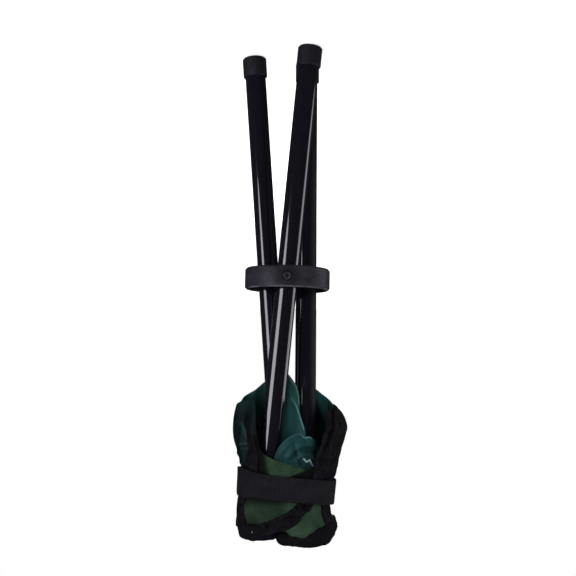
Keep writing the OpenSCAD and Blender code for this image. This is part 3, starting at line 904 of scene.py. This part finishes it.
# Rounds that each padded end is drawn over: middle and radius in mm, from the ring's middle
ROUNDS = {
    "front": (
        (36, 8, 257.2, 6), (39, -4, 257, 6), (37.3, -24, 257.6, 6), (29, -31, 258.8, 6),
        (14, -31, 256.5, 5.5), (12, -14, 258.6, 6), (39.5, 4, 253, 4.5), (41.5, -10, 252, 4.5),
        (37.5, -24, 251, 4.5), (29, -32, 251.5, 4.5), (17, -34.5, 254, 4.5), (8, -34, 258, 4),
    ),
    "right": (
        (-22, 25, 258.6, 6), (-4, 28.5, 258.6, 6), (19, 28, 258.6, 6), (27, 22, 258.6, 6),
        (1, 4, 258.6, 6), (-26, 26, 254.5, 4), (-5, 31, 254.5, 4), (18, 30, 254.5, 4),
        (31, 22, 254.5, 4),
    ),
    "left": (
        (-2.6, -29, 260.5, 8.5), (-28, -29.5, 261.6, 9), (-42, -23, 260, 8.5), (-46, -10, 257, 8.5),
        (-46.5, 1, 257, 8.5), (-38, 12, 260, 8), (-14, -9, 261.6, 9), (-51.2, -6, 251, 6.5),
        (-50.2, -2, 245.8, 6), (-50.5, 4, 251, 6.5), (-47.5, -19, 250, 6), (-40, -28, 254, 5),
        (-18, -33, 261, 4.5), (2, -33, 259, 4.5),
    ),
}
VOXEL = 0.0016


def puff(piece, pressure, most, frames):
    """Blows a closed piece up as its stuffing does, each point by no more than so many metres."""
    cloth = piece.modifiers.new("stuffing", "CLOTH")
    cloth.settings.use_pressure = True
    cloth.settings.uniform_pressure_force = pressure
    cloth.settings.effector_weights.gravity = 0
    cloth.point_cache.frame_end = frames
    for step in range(1, frames + 1):
        bpy.context.scene.frame_set(step)
    blown = piece.evaluated_get(bpy.context.evaluated_depsgraph_get()).data
    moves = [b.co - a.co for a, b in zip(piece.data.vertices, blown.vertices)]
    piece.modifiers.remove(cloth)
    bpy.context.scene.frame_set(1)
    for vert, move in zip(piece.data.vertices, moves):
        vert.co += move * min(1, most / max(move.length, 1e-9))


def padded_end(side):
    """Closed skin drawn over the rounds, remeshed evenly, filled and crumpled."""
    skin = bmesh.new()
    for x, y, z, r in ROUNDS[side]:
        spot = Matrix.Translation(at(x, y, z))
        bmesh.ops.create_icosphere(skin, subdivisions=3, radius=r / 1000, matrix=spot)
    bmesh.ops.delete(skin, geom=skin.edges[:], context="EDGES_FACES")
    bmesh.ops.convex_hull(skin, input=skin.verts[:])
    bmesh.ops.delete(skin, geom=[v for v in skin.verts if not v.link_faces], context="VERTS")
    piece = new_piece(f"pocket_{side}", skin)
    even = piece.modifiers.new("even", "REMESH")
    even.mode = "VOXEL"
    even.voxel_size = VOXEL
    thickened(piece)
    puff(piece, pressure=4.0, most=0.002, frames=14)
    piece.data.update()
    for vert in piece.data.vertices:
        x, y, z = (vert.co - HUB) * 1000
        lump = 0.9 * crumple(x * 0.085, y * 0.085, z * 0.085) + 0.55 * crumple(x * 0.2, y * 0.2, z * 0.42)
        vert.co += vert.normal * (lump - 0.5) / 1000
    piece.data.shade_smooth()
    return piece


# Bar tacks: a few tight stitches of pale thread through the front and the left pocket, which
# fasten them to the corner of the seat.
TACKS = {"front": (29.2, 254.4), "left": (-13.2, 267.3)}
TACK_RADIUS, TACK_STEP = 0.00032, 0.0003
tack_thread = Finish("pale_sewing_thread", (0.2, 0.2, 0.19), 0.7, specular=0.2)
thread_tone = tack_thread.mix(tack_thread.cloud(2500, 2), (0.13, 0.13, 0.12), (0.3, 0.29, 0.28))
tack_thread.join(thread_tone, "Base Color")
tack_thread.relief((tack_thread.cloud(3000, 2), 0.0002))


def bar_tack(pad, side):
    """Three short stitches, sunk a little in the padded end."""
    x, z = TACKS[side]
    spot = pad.ray_cast(at(x, -80, z), Vector((0, 1, 0)))[1]
    stitch = Matrix.Diagonal((0.8, 0.8, 1.7, 1))
    tack = bmesh.new()
    for k in (-1, 0, 1):
        place = Matrix.Translation(spot + Vector((TACK_STEP * k, 0, TACK_STEP * k))) @ stitch
        bmesh.ops.create_icosphere(tack, subdivisions=2, radius=TACK_RADIUS, matrix=place)
    return new_piece(f"bar_tack_{side}", tack)


# Pocket sleeves: the open ends of the corner pockets, single cloth pulled down over the tubes,
# each with a narrow rolled hem.
SLEEVE_HEM, SLEEVE_LENGTH, SLEEVE_RADIUS = 206, 48, 11.85


def along_leg(side, reach, turn, radius):
    """Point around a leg's axis, from the ring's middle."""
    angle, swing, lean = (math.radians(v) for v in LEGS[side])
    out = Vector((math.cos(angle), math.sin(angle), 0))
    sideways = Vector((-math.sin(angle), math.cos(angle), 0))
    upright = math.sin(swing) * sideways + math.cos(swing) * Vector((0, 0, 1))
    way = -math.sin(lean) * out + math.cos(lean) * upright
    first = (out - way * out.dot(way)).normalized()
    from_axis = (first * math.cos(turn) + way.cross(first) * math.sin(turn)) * radius
    return out * AXIS_OUT + way * reach + from_axis


def sleeve(side):
    def place(s, t):
        reach = SLEEVE_HEM + SLEEVE_LENGTH * t
        turn = 2 * math.pi * s
        slack = crumple(math.cos(turn) * 1.2, math.sin(turn) * 1.2, reach * 0.09 + len(side))
        hem_roll = 0.35 * hump(t, 0.02, 0.03)
        return tuple(along_leg(side, reach, turn, SLEEVE_RADIUS + 0.35 * slack + hem_roll))

    return lay(f"pocket_sleeve_{side}", 64, 48, place, size=(0.077, 0.048), thick=0.7, closed=True)


for side in SIDES:
    pad = padded_end(side)
    pad.data.materials.clear()
    pad.data.materials.append(pocket_cloth.material)
    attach(pad, f"{side}_leg")
    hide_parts(f"corner_pocket_{side}")
    if side in TACKS:
        tack = bar_tack(pad, side)
        tack.data.materials.append(tack_thread.material)
        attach(tack, f"{side}_leg")
    sock = sleeve(side)
    sock.data.materials.append(pocket_cloth.material)
    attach(sock, f"{side}_leg")

# Floor and backdrop: a plain pale sheet under the feet that keeps the stool's shadow, in a white
# room that is dim where the paint mirrors it.
FLOOR_RADIUS = 4
ROOM_LIT, ROOM_MIRRORED = 0.42, 0.03
disc = bmesh.new()
bmesh.ops.create_circle(disc, cap_ends=True, segments=64, radius=FLOOR_RADIUS)
floor = new_piece("floor", disc)
pale = Finish("pale_floor", (0.86, 0.86, 0.86), 0.9, specular=0.0)
ray = pale.add("LightPath")
fading_out = pale.between(pale.distance((0, 0, 0)), 0.1, 0.45, 0.62, 1.0)
shine = pale.maths("MULTIPLY", ray.outputs["Is Camera Ray"], fading_out)
glow = pale.add("Emission", {"Color": (1, 1, 1, 1), "Strength": shine})
seen = pale.add("AddShader", {0: pale.shader.outputs[0], 1: glow.outputs[0]})
dim = pale.add("Emission", {"Color": (0.03, 0.03, 0.032, 1), "Strength": 1.0})
by_ray = pale.add("MixShader", {0: ray.outputs["Is Glossy Ray"], 1: seen.outputs[0], 2: dim.outputs[0]})
pale.tree.links.new(by_ray.outputs[0], pale.tree.nodes["Material Output"].inputs["Surface"])
floor.data.materials.append(pale.material)

world = bpy.data.worlds.new("studio")
bpy.context.scene.world = world
world.use_nodes = True
sky = world.node_tree
path = sky.nodes.new("ShaderNodeLightPath")
seen_as_white = sky.nodes.new("ShaderNodeMath")
seen_as_white.operation = "MAXIMUM"
sky.links.new(path.outputs["Is Camera Ray"], seen_as_white.inputs[0])
sky.links.new(path.outputs["Is Transmission Ray"], seen_as_white.inputs[1])
level = sky.nodes.new("ShaderNodeMapRange")
sky.links.new(path.outputs["Is Glossy Ray"], level.inputs[0])
level.inputs[3].default_value = ROOM_LIT
level.inputs[4].default_value = ROOM_MIRRORED
strength = sky.nodes.new("ShaderNodeMath")
strength.operation = "MAXIMUM"
sky.links.new(seen_as_white.outputs[0], strength.inputs[0])
sky.links.new(level.outputs[0], strength.inputs[1])
sky.nodes["Background"].inputs["Color"].default_value = (1, 1, 1, 1)
sky.links.new(strength.outputs[0], sky.nodes["Background"].inputs["Strength"])

# Studio lamps: four tall soft boxes that stand around the stool and two weak fills in front.
# The near box on the left only shows mirrored in the paint; the others on the left and at the
# back, and the low fill, only light.
COOL = (0.93, 0.92, 1.0)


def lamp(name, place, aim, size, power, colour=(1, 1, 1), mirrored=True, lit=True, shape="RECTANGLE"):
    light = bpy.data.lights.new(name, "AREA")
    light.shape = shape
    light.size, light.size_y = size
    light.energy = power
    light.color = colour
    thing = bpy.data.objects.new(name, light)
    thing.visible_glossy = mirrored
    thing.visible_diffuse = lit
    thing.visible_camera = False
    bpy.context.scene.collection.objects.link(thing)
    turn = (Vector(aim) - Vector(place)).to_track_quat("-Z", "Y")
    thing.matrix_world = Matrix.Translation(place) @ turn.to_matrix().to_4x4()


def softbox(angle, distance, low, high, width, power, colour=COOL, mirrored=True, lit=True):
    """A tall lamp at an angle from the camera's side and a distance from the ring."""
    x, y = HUB.x + distance * sine(angle), -distance * cosine(angle)
    height = (low + high) / 2
    size = (width, high - low)
    aim = (HUB.x, 0, height)
    lamp(f"softbox_{angle}", (x, y, height), aim, size, power, colour, mirrored, lit, "ELLIPSE")


# Angle, distance, lower and upper end, width and power of each
softbox(52, 0.8, 0.02, 1.05, 0.46, 6.4)
softbox(-96, 0.22, 0.0, 0.8, 0.15, 0.65, lit=False)
softbox(-60, 0.8, 0.06, 1.0, 0.3, 2.2, mirrored=False)
softbox(165, 1.2, 0.06, 1.0, 0.5, 7.0, colour=(0.96, 0.96, 1.0), mirrored=False)
lamp("low_fill", (0.1, -1.3, 0.12), (0, 0, 0.36), (0.8, 0.2), 5.2, mirrored=False)
lamp("fill", (0.1, -1.6, 1.5), (0, 0, 0.3), (1.2, 1.2), 2.0)

# Camera: a metre from the ring and slightly above it, turned upside down and tilted as the
# stool was pictured.
CAMERA_RISE, CAMERA_TILT = math.radians(5.67), math.radians(1.3)
PHOTO_WIDTH = 576
stand = HUB + Vector((0, -math.cos(CAMERA_RISE), math.sin(CAMERA_RISE)))
forward = (HUB - stand).normalized()
level_up = -(Vector((0, 0, 1)) - forward * forward.z).normalized()
level_right = forward.cross(level_up)
right = level_right * math.cos(CAMERA_TILT) + level_up * math.sin(CAMERA_TILT)
up = level_up * math.cos(CAMERA_TILT) - level_right * math.sin(CAMERA_TILT)
camera_data = bpy.data.cameras.new("camera")
camera = bpy.data.objects.new("camera", camera_data)
bpy.context.scene.collection.objects.link(camera)
camera.matrix_world = Matrix.Translation(stand) @ Matrix((right, up, -forward)).transposed().to_4x4()
camera_data.sensor_width = 36
camera_data.lens = 59.5
camera_data.shift_x = 0.65 / PHOTO_WIDTH
camera_data.shift_y = -8.33 / PHOTO_WIDTH
bpy.context.scene.camera = camera
bpy.context.scene.view_settings.view_transform = "Standard"
